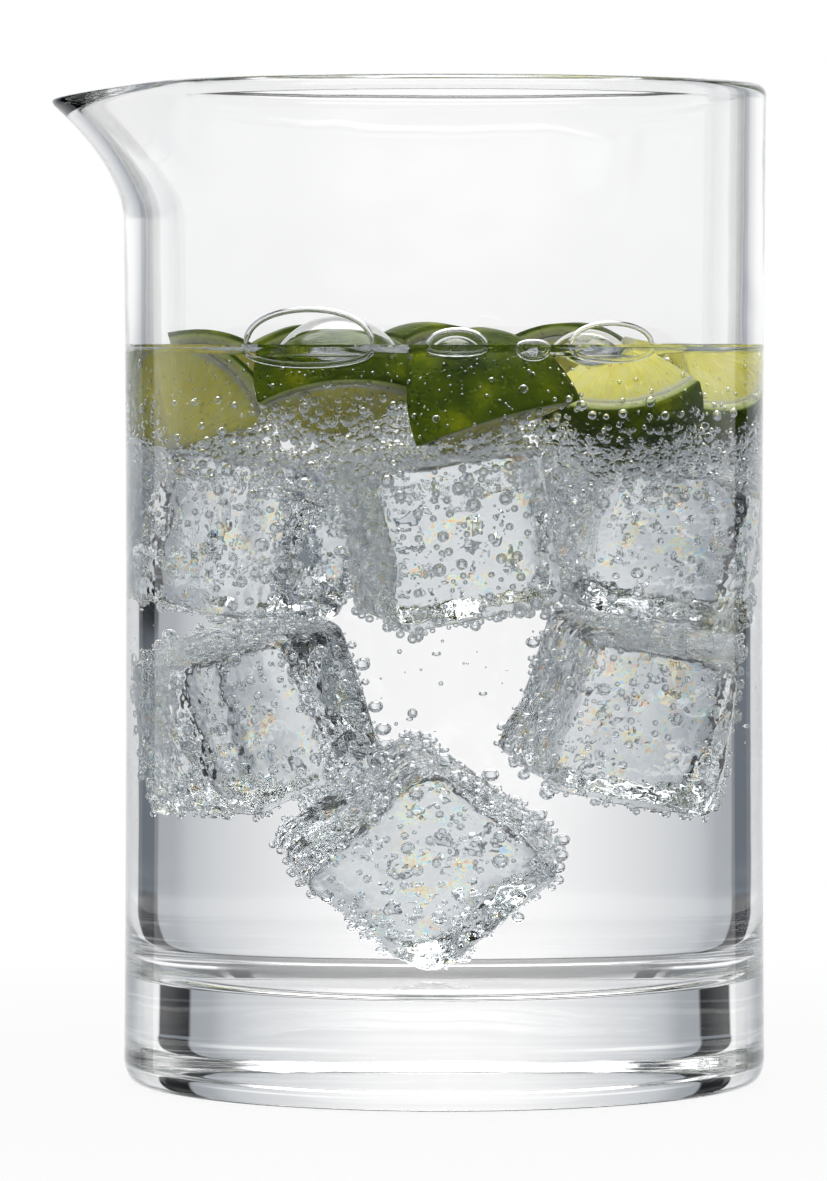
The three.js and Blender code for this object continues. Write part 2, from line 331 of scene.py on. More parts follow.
def seenDirectly(bench):
    path = bench.node("ShaderNodeLightPath", {}, {}, "Is Camera Ray")
    return path, (path + path.out("Is Glossy Ray") + path.out("Is Transmission Ray")).clamped()


def coolGrey(level):
    return level ** 1.07, level, level ** 0.92


def makeWorld():
    world = bpy.data.worlds.new("studio")
    world.use_nodes = True
    world.node_tree.nodes.clear()
    bpy.context.scene.world = world
    bench = Wire(world.node_tree)
    way = partsOf(bench, bench.node("ShaderNodeTexCoord", {}, {}, "Generated"), "X")
    turn = way.maths("ABSOLUTE").maths("ARCTAN2", way.out("Y")) / math.pi
    climb = way.out("Z").maths("ARCSINE") * (180 / math.pi)

    def ring(height):
        levels = studio[height + "White"] + studio[height + "Sides"]
        return rampOf(bench, turn, [(degrees / 180, coolGrey(level)) for degrees, level in levels])

    thin = rise(bench, climb, *studio["farLow"]) * (1 - rise(bench, climb, *studio["farHigh"]))
    room = blend(bench, thin, ring("near"), ring("far"))
    band = studio["backdrop"]
    aside = turn * 180
    # the backdrop hangs lower right behind the jug
    lowered = climb + band["drop"] * (1 - rise(bench, aside, *band["width"]))
    within = rise(bench, lowered, *band["low"]) * (1 - rise(bench, climb, *band["high"]))
    dimmed = vectorOf(bench, "SCALE", {0: room, "Scale": band["beyond"]})
    room = blend(bench, within, dimmed, room)
    side = studio["sideLight"]
    low = rise(bench, aside, *side["aside"]) * (1 - rise(bench, climb, *side["top"]))
    room = blend(bench, low, room, coolGrey(side["level"]) + (1,))
    for part, sign in (("ceiling", 1), ("ground", -1)):
        edge = studio[part]
        share = rise(bench, climb * sign, edge["from"] * sign, edge["to"] * sign)
        room = blend(bench, share, room, (edge["level"],) * 3 + (1,))
    front = studio["frontLight"]
    slope = climb.maths("ABSOLUTE")
    lamp = (rise(bench, aside, *front["aside"]) * rise(bench, slope, *front["gap"])
            * (1 - rise(bench, climb, *front["top"])) * rise(bench, climb, *front["foot"]))
    room = blend(bench, lamp, room, (front["level"],) * 3 + (1,))
    strips = studio["strips"]
    across = rise(bench, aside, *strips["inner"]) * (1 - rise(bench, aside, *strips["outer"]))
    along = 1 - rise(bench, slope, *strips["top"])
    haze = strips["haze"]
    hazy = rise(bench, climb, *haze["low"]) * (1 - rise(bench, climb, *haze["high"]))
    strip = blend(bench, hazy, (0, 0, 0, 1), coolGrey(haze["level"]) + (1,))
    room = blend(bench, across * along * strips["dark"], room, strip)
    camera, direct = seenDirectly(bench)
    lit = blend(bench, direct, (studio["plain"],) * 3 + (1,), room)
    back = bench.node("ShaderNodeBackground", {}, {"Color": blend(bench, camera, lit, (1, 1, 1, 1))})
    bench.node("ShaderNodeOutputWorld", {}, {"Surface": back})


def floorFinish():
    material, bench = startFinish("whiteFloor")
    least = studio["floorWhite"]
    diffuse = bench.node("ShaderNodeBsdfDiffuse", {}, {"Color": studio["floorColour"]})
    white = bench.node("ShaderNodeEmission", {}, {"Color": (1, 1, 1, 1), "Strength": 1})
    direct = seenDirectly(bench)[1]
    away = vectorOf(bench, "LENGTH", {0: objectPlace(bench)}, "Value")
    shadowless = least + rise(bench, away, *studio["shadowEdge"]) * (1 - least)
    both = bench.node("ShaderNodeMixShader", {}, {0: direct * shadowless, 1: diffuse, 2: white})
    return endFinish(material, bench, both)


def makeFloor():
    half = studio["floorSize"] / 2
    corners = [(-half, -half), (half, -half), (half, half), (-half, half)]
    points = [(x, y, -studio["floorDrop"]) for x, y in corners]
    floor = pieceFrom("floor", points, [(0, 1, 2, 3)], floorFinish())
    floor.visible_transmission = False  # through the glass, the white room goes on below the horizon
    floor.visible_glossy = False


# how strongly light bends; ice, lime and gas lie in the water and are given against it
bends = {"glass": 1.5, "water": 1.333, "neutral": 1.0, "ice": 1.3, "lime": 1.12, "gas": 0.75}


def clearFinish(name, bend, rippleSize=None, ripple=0):
    material, bench = startFinish(name)
    sockets = {"Base Color": (1, 1, 1, 1), "Roughness": 0.0, "IOR": bend, "Transmission Weight": 1}
    if rippleSize:
        sockets["Normal"] = bumpOf(bench, noiseOf(bench, objectPlace(bench), rippleSize, 2), ripple)
    return endFinish(material, bench, bench.node("ShaderNodeBsdfPrincipled", {}, sockets))


# the jug: a thick turned wall whose rim is pulled into a pouring lip on the -X side

jugSizes = {
    "wall": 3 * mm,
    "base": 14.5 * mm,
    "footInset": 1.8 * mm,
    "footRise": 3.4 * mm,
    "floorRound": 6.5 * mm,
    "waistDraw": 0.4 * mm,
    "rippleSize": 22 * mm,
    "ripple": 0.06 * mm,
    "wetRipple": 0.03 * mm,
    "sides": 224,
    "wallRings": 26,
    "lipRings": 26,
    "arcSteps": 14,
    "flatRings": (0, 0.5, 0.99, 1),  # shares of a flat end's radius, close together at its edge
}
lipSizes = {
    "lipReach": 10.8 * mm,
    "lipDrop": 2 * mm,
    "lipDepth": 19 * mm,
    "lipHalfAngle": math.radians(38),
    "lipCurve": 1.7,
    "rimHeight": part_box("jug_glass")[1].z,
}
waterSizes = {
    "level": 102.8 * mm,
    "wet": 0.1 * mm,
    "climb": 1.2 * mm,
    "climbWidth": 3.2 * mm,
    "sides": 192,
    "wallRings": 24,
    "topRings": 70,
    "ripple": 0.35 * mm,
    "rippleSize": 7 * mm,
    "wave": 0.03 * mm,
    "waveSize": 5 * mm,
    "topSlope": 0.2,
}
wetSlack = {"down": 0.1 * mm, "out": 0.5 * mm, "top": 0.01 * mm}  # for telling which faces are wet
wetEdge = waterSizes["level"] + waterSizes["climb"]
jugHeight = lipSizes["rimHeight"]
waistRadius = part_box("jug_glass")[1].x - jugSizes["waistDraw"]


def outerRadius(height):
    return waistRadius + jugSizes["waistDraw"] * (2 * height / jugHeight - 1) ** 2


def innerRadius(height):
    return outerRadius(height) - jugSizes["wall"]


def wallHeights(low, high):
    lipStart = jugHeight - lipSizes["lipDepth"]
    lower = np.linspace(low, lipStart, jugSizes["wallRings"], endpoint=False)
    upper = np.linspace(lipStart, high, jugSizes["lipRings"])
    return [float(height) for height in np.concatenate([lower, upper])]


def jugProfile():
    rim, steps = jugSizes["wall"] / 2, jugSizes["arcSteps"]
    foot, corner = jugSizes["footRise"], jugSizes["floorRound"]
    rimCentre = jugHeight - rim
    footR = outerRadius(foot) - jugSizes["footInset"]
    floorZ = jugSizes["base"] + corner
    floorR = innerRadius(floorZ) - corner
    under = [(footR * share, 0) for share in jugSizes["flatRings"]]
    outside = [(outerRadius(height), height) for height in wallHeights(foot, rimCentre)[1:]]
    inside = [(innerRadius(height), height)
              for height in sorted(wallHeights(floorZ, rimCentre)[:-1] + [wetEdge], reverse=True)]
    inner = [(floorR * share, jugSizes["base"]) for share in jugSizes["flatRings"][-2::-1]]
    return (under + arcPoints(footR, foot, jugSizes["footInset"], foot, -90, 0, steps) + outside
            + arcPoints(outerRadius(rimCentre) - rim, rimCentre, rim, rim, 0, 180, steps) + inside
            + arcPoints(floorR, floorZ, corner, corner, 0, -90, steps) + inner)


def lipTree(finish):
    bench, given = startTree("pouringLip", lipSizes)
    x = partsOf(bench, bench.node("GeometryNodeInputPosition"), "X")
    y, z = x.out("Y"), x.out("Z")
    depth = given.out("lipDepth")
    climb = ((z - given.out("rimHeight") + depth) / depth).clamped()
    aside = y.maths("ARCTAN2", x * -1).maths("ABSOLUTE") / given.out("lipHalfAngle")
    share = (aside.clamped() * (math.pi / 2)).maths("COSINE") ** 2 * climb ** given.out("lipCurve")
    radius = (x * x + y * y).maths("SQRT")
    pull = share * given.out("lipReach") / radius
    shift = bench.node("ShaderNodeCombineXYZ", {}, {0: x * pull, 1: y * pull,
                                                    2: share * given.out("lipDrop") * -1})
    pulled = bench.node("GeometryNodeSetPosition", {}, {"Geometry": given, "Offset": shift})
    endTree(bench, pulled, finish)
    return bench


def wetInside(piece):
    # where water stands against the glass, light bends only by the ratio of the two
    bend = bends["glass"] / bends["water"]
    finish = clearFinish("wetGlass", bend, jugSizes["rippleSize"], jugSizes["wetRipple"])
    piece.data.materials.append(finish)
    lowest = jugSizes["base"] - wetSlack["down"]
    for face in piece.data.polygons:
        x, y, z = face.center
        if lowest < z < wetEdge and math.hypot(x, y) < innerRadius(z) + wetSlack["out"]:
            face.material_index = 1


def makeJug():
    piece = pieceFrom("mixingJug", *turnedShape(jugProfile(), jugSizes["sides"]))
    finish = clearFinish("clearGlass", bends["glass"], jugSizes["rippleSize"], jugSizes["ripple"])
    settle(piece, lipTree(finish), lipSizes)
    wetInside(piece)
    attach(piece, "jug")
    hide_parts("jug_glass")
    print("jug turned and its lip pulled,", len(piece.data.polygons), "faces")


# the sparkling water: its top bends light, and its sides lie against the wet glass

filmBubbles = [
    {"x": -18.1 * mm, "width": 16.8 * mm, "height": 5.2 * mm, "dent": 2.4 * mm, "rope": 0.42 * mm},
    {"x": 1.5 * mm, "width": 7.6 * mm, "height": 2.4 * mm, "dent": 0.9 * mm, "rope": 0.34 * mm},
    {"x": 11.6 * mm, "width": 4.2 * mm, "height": 0.9 * mm, "dent": 1.6 * mm, "rope": 0.24 * mm},
    {"x": 22.0 * mm, "width": 10.8 * mm, "height": 3.3 * mm, "dent": 1.8 * mm, "rope": 0.36 * mm},
]
filmSizes = {"thickness": 0.1 * mm, "collar": 0.4 * mm, "collarWidth": 0.16, "dentPower": 1.5,
             "rings": 20, "sides": 56, "foot": 0.5 * mm, "offWall": 0.5 * mm, "ropeSteps": 64,
             "ropeSides": 12, "ropeSink": 0.4 * mm, "ropeOffWall": 0.05 * mm, "ropeEnd": 0.35,
             "ropeSwell": 0.16, "ropePower": 0.8}


def filmPlace(film):
    # a film bubble leans on the front of the glass: its middle and its radius on the water
    radius = film["width"] / 2
    reach = innerRadius(waterSizes["level"]) - filmSizes["offWall"]
    edge = -math.sqrt(reach ** 2 - film["x"] ** 2)
    return film["x"] * (1 - radius / reach), edge * (1 - radius / reach), radius


def surfaceShift(x, y):
    # ripples, and under each film bubble a dent with a raised collar round it
    shift = waterSizes["ripple"] * waves((x, y, 0), waterSizes["rippleSize"], 1)
    for film in filmBubbles:
        middleX, middleY, radius = filmPlace(film)
        away = math.hypot(x - middleX, y - middleY) / radius
        if away < 1:
            shift -= film["dent"] * (1 - away ** 2) ** filmSizes["dentPower"]
        shift += filmSizes["collar"] * math.exp(-((away - 1) / filmSizes["collarWidth"]) ** 2)
    return shift


def waterProfile():
    steps, wet = jugSizes["arcSteps"], waterSizes["wet"]
    corner = jugSizes["floorRound"] + wet
    floorZ = jugSizes["base"] + jugSizes["floorRound"]
    floorR = innerRadius(floorZ) - jugSizes["floorRound"]
    edgeR = innerRadius(wetEdge) + wet
    bottom = [(floorR * share, jugSizes["base"] - wet) for share in jugSizes["flatRings"]]
    wall = [(innerRadius(height) + wet, float(height))
            for height in np.linspace(floorZ, wetEdge, waterSizes["wallRings"])[1:]]
    top = []
    for inward in np.linspace(0, edgeR, waterSizes["topRings"])[1:]:
        curl = max(1 - inward / waterSizes["climbWidth"], 0) ** 2
        top.append((edgeR - inward, waterSizes["level"] + waterSizes["climb"] * curl))
    return bottom + arcPoints(floorR, floorZ, corner, corner, -90, 0, steps) + wall + top


def makeWater():
    points, faces = turnedShape(waterProfile(), waterSizes["sides"])
    edge = innerRadius(waterSizes["level"])
    moved = []
    for x, y, z in points:
        inside = min(max((edge - math.hypot(x, y)) / waterSizes["climbWidth"], 0), 1)
        onTop = z > waterSizes["level"] - wetSlack["top"]
        moved.append((x, y, z + surfaceShift(x, y) * inside if onTop else z))
    top, side = [clearFinish(name, bends[bend], waterSizes["waveSize"], waterSizes["wave"])
                 for name, bend in (("waterTop", "water"), ("waterSide", "neutral"))]
    piece = pieceFrom("sparklingWater", moved, faces, top)
    piece.data.materials.append(side)
    for face in piece.data.polygons:
        face.material_index = 0 if face.normal.z > waterSizes["topSlope"] else 1
    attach(piece, "drink")
    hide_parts("sparkling_water")
    print("water poured,", len(faces), "faces")


def domeShape(film):
    # a thin skin from the top of the dome down to its foot, a little under the water
    middleX, middleY, radius = filmPlace(film)
    ball = (radius ** 2 + film["height"] ** 2) / (2 * film["height"])
    centre = waterSizes["level"] + film["height"] - ball
    profile = []
    for skin in (ball - filmSizes["thickness"], ball):
        edge = math.acos(max(-1, min(1, (waterSizes["level"] - filmSizes["foot"] - centre) / skin)))
        turns = np.linspace(0, edge, filmSizes["rings"])
        cap = [(skin * math.sin(turn), centre + skin * math.cos(turn)) for turn in turns]
        profile = profile + (cap[::-1] if profile else cap)
    points, faces = turnedShape(profile, filmSizes["sides"])
    return [(x + middleX, y + middleY, z) for x, y, z in points], faces


def ropeShape(film, lift):
    # a round rope of water, or of air, where the bubble meets the glass: an arch from end to end
    steps, sides = filmSizes["ropeSteps"], filmSizes["ropeSides"]
    wall = innerRadius(waterSizes["level"]) - film["rope"] - filmSizes["ropeOffWall"]
    foot = wetEdge - filmSizes["ropeSink"]
    path = []
    for step in range(steps + 1):
        turn = math.pi * (1 - step / steps)
        x = film["x"] + film["width"] / 2 * math.cos(turn)
        arch = lift * math.sin(turn) ** filmSizes["ropePower"]
        path.append(Vector((x, -math.sqrt(wall ** 2 - x ** 2), foot + arch)))
    points = []
    for step in range(1, steps):
        ahead = (path[step + 1] - path[step - 1]).normalized()
        out = Vector((path[step].x, path[step].y, 0)).normalized()
        side = ahead.cross(out).normalized()
        fromEnd = min(step, steps - step)
        thick = film["rope"] * min(1, filmSizes["ropeEnd"] + filmSizes["ropeSwell"] * fromEnd)
        for k in range(sides):
            turn = 2 * math.pi * k / sides
            points.append(path[step] + (out * math.cos(turn) + side * math.sin(turn)) * thick)
    rings = len(points) // sides
    faces = sleeveFaces(rings, sides)
    faces.append(tuple(range(sides)))
    faces.append(tuple(range((rings - 1) * sides, rings * sides))[::-1])
    return points, faces


def makeFilms():
    finish, hollow = clearFinish("bubbleFilm", bends["water"]), bubbleFinish()
    for number, film in enumerate(filmBubbles, 1):
        shapes = [(f"film_bubble_{number}", domeShape(film), finish),
                  (f"film_edge_{number}", ropeShape(film, film["height"]), finish),
                  (f"film_dent_{number}", ropeShape(film, -film["dent"]), hollow)]
        for name, (points, faces), skin in shapes:
            piece = pieceFrom(name, points, faces, skin)
            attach(piece, "drink")
    print("film bubbles blown:", len(filmBubbles))


# six clear ice cubes, rebuilt finely in the place of their nodes

iceSizes = {
    "count": 6,
    "round": 2.4 * mm,
    "steps": 34,
    "edgeCrowd": 0.6,
    "dimpleRadius": 6.8 * mm,
    "dimpleDepth": 2 * mm,
    "dimplePower": 1.3,
    "melt": 0.55 * mm,
    "meltLevel": 0.1,
    "meltSize": 8 * mm,
    "chip": 0.16 * mm,
    "chipSize": 2.6 * mm,
    "chipSeed": 20,
}
iceLook = {
    "swellSize": 5 * mm,
    "swell": 0.9 * mm,
    "facetSize": 1.6 * mm,
    "facet": 0.22 * mm,
    "frostSize": 6 * mm,
    "frost": (0.55, 0.75, 0, 0.16),  # where the noise turns frosty, and from how rough to how rough
    "tint": (0.71, 0.74, 0.76, 1),
    # painted rainbow glints: spots of rainbow colour in the ice's base colour, standing in for light split
    # into colours by the ice
    "paintedGlintSize": 3.4 * mm,
    "paintedGlint": (0.57, 0.66),
    "paintedGlintShare": 0.85,
    "paintedGlintHueSize": 0.7 * mm,
    "paintedGlintHues": [(0.3, (0.35, 0.6, 1.0)), (0.42, (0.6, 0.95, 0.95)), (0.5, (0.95, 1.0, 0.55)),
             (0.58, (1.0, 0.7, 0.25)), (0.7, (1.0, 0.45, 0.35))],
}


def blockGrid(steps):
    # points and faces on a cube from -1 to 1, with shared edges and rows crowded towards them
    ticks = []
    for step in range(steps + 1):
        share = 2 * step / steps - 1
        crowd = iceSizes["edgeCrowd"]
        ticks.append((1 - crowd) * share + crowd * math.sin(share * math.pi / 2))
    points, faces, seen = [], [], {}
    for axis in range(3):
        for side in (-1, 1):
            rows = []
            for first in ticks:
                rows.append([])
                for second in ticks:
                    spot = [0, 0, 0]
                    spot[axis], spot[(axis + 1) % 3], spot[(axis + 2) % 3] = side, first, second
                    key = tuple(round(value, 5) for value in spot)
                    if key not in seen:
                        seen[key] = len(points)
                        points.append(spot)
                    rows[-1].append(seen[key])
            for i in range(steps):
                for j in range(steps):
                    face = (rows[i][j], rows[i + 1][j], rows[i + 1][j + 1], rows[i][j + 1])
                    faces.append(face if side > 0 else face[::-1])
    return points, faces


def cubeFrame(node):
    # centre, three axes and half edge; the first axis looks out of the face with the dimple
    sides = flatFacesOf(node)[:6]
    first = sides[-1]["out"].normalized()
    second = next(side["out"] for side in sides if abs(side["out"].dot(first)) < 0.1).normalized()
    axes = [first, second, first.cross(second)]
    spans = [reachAlong(node, axis) for axis in axes]
    centre = sum((axis * (low + high) / 2 for axis, (low, high) in zip(axes, spans)), Vector())
    return centre, axes, (spans[1][1] - spans[1][0]) / 2


def cubePoint(spot, half, seed):
    place = Vector(spot) * half
    core = Vector([min(max(value, iceSizes["round"] - half), half - iceSizes["round"]) for value in place])
    out = (place - core).normalized()
    place = core + out * iceSizes["round"]
    place += out * iceSizes["melt"] * (waves(place, iceSizes["meltSize"], seed) - iceSizes["meltLevel"])
    place += out * iceSizes["chip"] * waves(place, iceSizes["chipSize"], seed + iceSizes["chipSeed"])
    away = math.hypot(place.y, place.z) / iceSizes["dimpleRadius"]
    if spot[0] > 0.5 and away < 1:
        place.x -= iceSizes["dimpleDepth"] * (1 - away ** 2) ** iceSizes["dimplePower"]
    return place


def iceFinish():
    material, bench = startFinish("clearIce")
    place = objectPlace(bench)
    swell = bumpOf(bench, noiseOf(bench, place, iceLook["swellSize"], 2), iceLook["swell"])
    facets = bumpOf(bench, noiseOf(bench, place, iceLook["facetSize"], 1), iceLook["facet"], swell)
    frost = slide(bench, noiseOf(bench, place, iceLook["frostSize"], 4), *iceLook["frost"])
    # painted rainbow glints: noise spots tint the base colour in rainbow hues, in place of light split into
    # colours by the ice
    paintedGlintHue = rampOf(bench, noiseOf(bench, place, iceLook["paintedGlintHueSize"], 1), iceLook["paintedGlintHues"])
    paintedGlint = rise(bench, noiseOf(bench, place, iceLook["paintedGlintSize"], 3), *iceLook["paintedGlint"])
    ice = bench.node("ShaderNodeBsdfPrincipled", {}, {
        "Base Color": blend(bench, paintedGlint * iceLook["paintedGlintShare"], iceLook["tint"], paintedGlintHue), "Roughness": frost,
        "IOR": bends["ice"], "Transmission Weight": 1, "Normal": facets})
    return endFinish(material, bench, ice)


def makeIce():
    finish = iceFinish()
    grid, faces = blockGrid(iceSizes["steps"])
    cubes = []
    for number in range(1, iceSizes["count"] + 1):
        node = f"ice_cube_{number}"
        centre, axes, half = cubeFrame(node)
        stand = Matrix(axes).transposed()
        points = [centre + stand @ cubePoint(spot, half, number) for spot in grid]
        piece = pieceFrom(f"clear_ice_{number}", points, faces, finish)
        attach(piece, "drink")
        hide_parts(node)
        cubes.append(piece)
    print("ice cubes frozen:", len(cubes))
    return cubes


# eight lime wedges, each a peel and the flesh inside it, in the fruit's own frame

limeSizes = {
    "count": 8,
    "radius": 15.5 * mm,
    "halfLength": 17 * mm,
    "peel": 2 * mm,
    "gap": 0.12 * mm,
    "steps": 30,
    "skinWave": 0.22 * mm,
    "skinWaveSize": 5 * mm,
    "skinLevel": 0.6,
    "segments": 10,
    "segmentTurn": math.radians(9),
    "bulge": 0.35 * mm,
    "bulgePower": 0.6,
    "edgeFade": 9,
    "pulp": 0.28 * mm,
    "pulpSize": 2.2 * mm,
}
limeLook = {
    "rind": [(0.3, (0.045, 0.08, 0.001)), (0.55, (0.11, 0.16, 0.002)), (0.75, (0.32, 0.37, 0.005))],
    "pith": [(0.03, (0.2, 0.34, 0.03)), (0.06, (0.5, 0.56, 0.2)), (0.13, (0.72, 0.74, 0.46))],
    "juice": [(0.3, (0.8, 0.75, 0.17)), (0.6, (0.88, 0.83, 0.25)), (0.8, (0.93, 0.89, 0.4))],
    "sacEdge": (0.8, 0.8, 0.5, 1),
    "membrane": (0.82, 0.82, 0.58, 1),
    "rindSize": 0.35,
    "cut": (0.03, 0.05),
    "pores": 17,
    "poreEdge": (0.05, 0.45),
    "poreDepth": 0.14 * mm,
    "juiceSize": 0.3,
    "sacs": 11,
    "sacDraw": 0.22,
    "sacFade": (0, 0.12, 0.25, 0),
    "sacDepth": 0.2 * mm,
    "acrossFade": (0.02, 0.06, 1, 0),
    "membraneEdge": (0.05, 0.22),
    "coreEdge": (0.06, 0.16),
    "rimEdge": (0.8, 0.87),
}


def wedgeFrame(number):
    # the corner where the three cuts meet, and the fruit's axes from it, the last one lengthwise
    node = f"lime_flesh_{number}"
    cuts = flatFacesOf(node)[:3]
    rows = Matrix([cut["out"] for cut in cuts])
    corner = rows.inverted() @ Vector([cut["offset"] for cut in cuts])
    axes = [-cut["out"].normalized() for cut in cuts]
    axes.sort(key=lambda axis: reachAlong(node, axis)[1] - corner.dot(axis))
    if axes[0].cross(axes[1]).dot(axes[2]) < 0:
        axes[0], axes[1] = axes[1], axes[0]
    return corner, Matrix(axes).transposed()


def octantGrid(steps):
    # unit directions over an eighth of a ball: rows from the equator to the pole
    rows = []
    for i in range(steps):
        tilt = math.pi / 2 * i / steps
        row = []
        for j in range(steps + 1):
            turn = math.pi / 2 * j / steps
            row.append((math.cos(tilt) * math.cos(turn), math.cos(tilt) * math.sin(turn), math.sin(tilt)))
        rows.append(row)
    return rows


def skinFaces(rows, pole, flip=False):
    faces = []
    for i in range(len(rows)):
        for j in range(len(rows[0]) - 1):
            if i + 1 < len(rows):
                face = (rows[i][j], rows[i][j + 1], rows[i + 1][j + 1], rows[i + 1][j])
            else:
                face = (rows[i][j], rows[i][j + 1], pole)
            faces.append(face[::-1] if flip else face)
    return faces


def stripFaces(one, other):
    return [(one[i], one[i + 1], other[i + 1], other[i]) for i in range(len(one) - 1)]


def onFruit(way, inset):
    across, along = limeSizes["radius"] - inset, limeSizes["halfLength"] - inset
    return Vector((way[0] * across, way[1] * across, way[2] * along))


def peelShape(seed):
    steps = limeSizes["steps"]
    points = []
    layers = []
    for inset, wavy in ((0, 1), (limeSizes["peel"], 0)):
        rows = []
        for row in octantGrid(steps) + [[(0, 0, 1)]]:
            rows.append([])
            for way in row:
                spot = onFruit(way, inset)
                wave = waves(spot, limeSizes["skinWaveSize"], seed) - limeSizes["skinLevel"]
                lift = wavy * limeSizes["skinWave"] * wave
                rows[-1].append(len(points))
                points.append(spot + Vector(way) * lift)
        layers.append(rows)
    outer, inner = layers
    outerPole, innerPole = outer[-1][0], inner[-1][0]
    faces = skinFaces(outer[:-1], outerPole) + skinFaces(inner[:-1], innerPole, True)
    faces += stripFaces(inner[0], outer[0])
    outerSides = [[row[column] for row in outer[:-1]] + [outerPole] for column in (0, steps)]
    innerSides = [[row[column] for row in inner[:-1]] + [innerPole] for column in (0, steps)]
    faces += stripFaces(outerSides[0], innerSides[0]) + stripFaces(innerSides[1], outerSides[1])
    return points, faces


def pulpLift(spot, out, seed):
    # juice sacs swell a cut face between its edges, and segments swell on the cut across the fruit
    reach = [spot[k] / (limeSizes["halfLength"] if k == 2 else limeSizes["radius"]) for k in range(3)]
    radial = math.hypot(*reach) / (1 - limeSizes["peel"] / limeSizes["radius"])
    inside = [value for value, side in zip(reach, out) if side == 0]
    steep = limeSizes["edgeFade"]
    fade = min(1, steep * min(inside)) * min(1, max(0, steep * (1 - radial)))
    lift = limeSizes["pulp"] * waves(spot, limeSizes["pulpSize"], seed)
    if out[2]:
        turn = math.atan2(spot[1], spot[0]) - limeSizes["segmentTurn"]
        swell = abs(math.sin(limeSizes["segments"] / 2 * turn)) ** limeSizes["bulgePower"]
        lift += limeSizes["bulge"] * swell
    return lift * max(fade, 0)


def fleshShape(seed):
    steps = limeSizes["steps"]
    inset = limeSizes["peel"] + limeSizes["gap"]
    points, faces, seen = [], [], {}

    def put(spot, out=(0, 0, 0)):
        key = tuple(round(value / (0.001 * mm)) for value in spot)
        if key not in seen:
            seen[key] = len(points)
            lift = pulpLift(spot, out, seed) if any(out) else 0
            points.append(Vector(spot) + Vector(out) * lift)
        return seen[key]

    skin = [[onFruit(way, inset) for way in row] for row in octantGrid(steps)]
    pole = onFruit((0, 0, 1), inset)
    faces += skinFaces([[put(spot) for spot in row] for row in skin], put(pole))
    edges = {
        (0, 0, -1): skin[0][::-1],
        (0, -1, 0): [row[0] for row in skin] + [pole],
        (-1, 0, 0): ([row[steps] for row in skin] + [pole])[::-1],
    }
    for out, edge in edges.items():
        rows = [[put(spot * (level / steps), out) for spot in edge] for level in range(1, steps)]
        rows.append([put(spot) for spot in edge])
        corner = put(Vector((0, 0, 0)))
        for i in range(steps):
            faces.append((corner, rows[0][i], rows[0][i + 1]))
        for one, other in zip(rows, rows[1:]):
            faces += [face[::-1] for face in stripFaces(one, other)]
    return points, faces


def markFruitPlace(piece, points):
    # each point's place in the fruit, 1 at the rind, for the finishes to read
    spread = (limeSizes["radius"], limeSizes["radius"], limeSizes["halfLength"])
    values = [value / size for point in points for value, size in zip(point, spread)]
    piece.data.attributes.new("fruitPlace", "FLOAT_VECTOR", "POINT").data.foreach_set("vector", values)


def fruitPlace(bench):
    return bench.node("ShaderNodeAttribute", {"attribute_name": "fruitPlace"}, {}, "Vector")


def peelFinish():
    material, bench = startFinish("limePeel")
    place = fruitPlace(bench)
    depth = 1 - vectorOf(bench, "LENGTH", {0: place}, "Value")
    rind = rampOf(bench, noiseOf(bench, place, limeLook["rindSize"], 4), limeLook["rind"])
    pith = rampOf(bench, depth, limeLook["pith"])
    cut = rise(bench, depth, *limeLook["cut"])
    pores = bench.node("ShaderNodeTexVoronoi", {}, {"Vector": place, "Scale": limeLook["pores"]})
    peel = bench.node("ShaderNodeBsdfPrincipled", {}, {
        "Base Color": blend(bench, cut, rind, pith), "Roughness": 0.3 + cut * 0.25, "IOR": bends["lime"],
        "Subsurface Weight": 0.15, "Subsurface Radius": (0.6, 1.0, 0.2), "Subsurface Scale": 1.0 * mm,
        "Normal": bumpOf(bench, rise(bench, pores, *limeLook["poreEdge"]), limeLook["poreDepth"])})
    return endFinish(material, bench, peel)


def fleshFinish():
    material, bench = startFinish("limeFlesh")
    place = fruitPlace(bench)
    spot = partsOf(bench, place, "X")
    radial = vectorOf(bench, "LENGTH", {0: place}, "Value")
    way = vectorOf(bench, "NORMALIZE", {0: place})
    along = vectorOf(bench, "SCALE", {0: place, "Scale": limeLook["sacDraw"]})
    streak = vectorOf(bench, "ADD", {0: way, 1: along})  # juice sacs run from the core to the rind
    sacs = bench.node("ShaderNodeTexVoronoi", {"feature": "DISTANCE_TO_EDGE"},
                      {"Vector": streak, "Scale": limeLook["sacs"]})
    turn = spot.out("Y").maths("ARCTAN2", spot) - limeSizes["segmentTurn"]
    wall = (turn * (limeSizes["segments"] / 2)).maths("SINE").maths("ABSOLUTE")
    across = slide(bench, spot.out("Z"), *limeLook["acrossFade"])  # the cut that shows the membranes
    membrane = (1 - rise(bench, wall, *limeLook["membraneEdge"])) * across
    core = 1 - rise(bench, radial, *limeLook["coreEdge"])
    rim = rise(bench, radial, *limeLook["rimEdge"])
    pale = membrane.maths("MAXIMUM", core).maths("MAXIMUM", rim)
    juice = rampOf(bench, noiseOf(bench, place, limeLook["juiceSize"], 4), limeLook["juice"])
    pulp = blend(bench, slide(bench, sacs, *limeLook["sacFade"]), juice, limeLook["sacEdge"])
    flesh = bench.node("ShaderNodeBsdfPrincipled", {}, {
        "Base Color": blend(bench, pale, pulp, limeLook["membrane"]), "Roughness": 0.25 + pale * 0.3,
        "IOR": bends["lime"], "Subsurface Weight": 0.9, "Subsurface Radius": (1, 0.9, 0.35),
        "Subsurface Scale": 6 * mm, "Normal": bumpOf(bench, sacs, limeLook["sacDepth"])})
    return endFinish(material, bench, flesh)


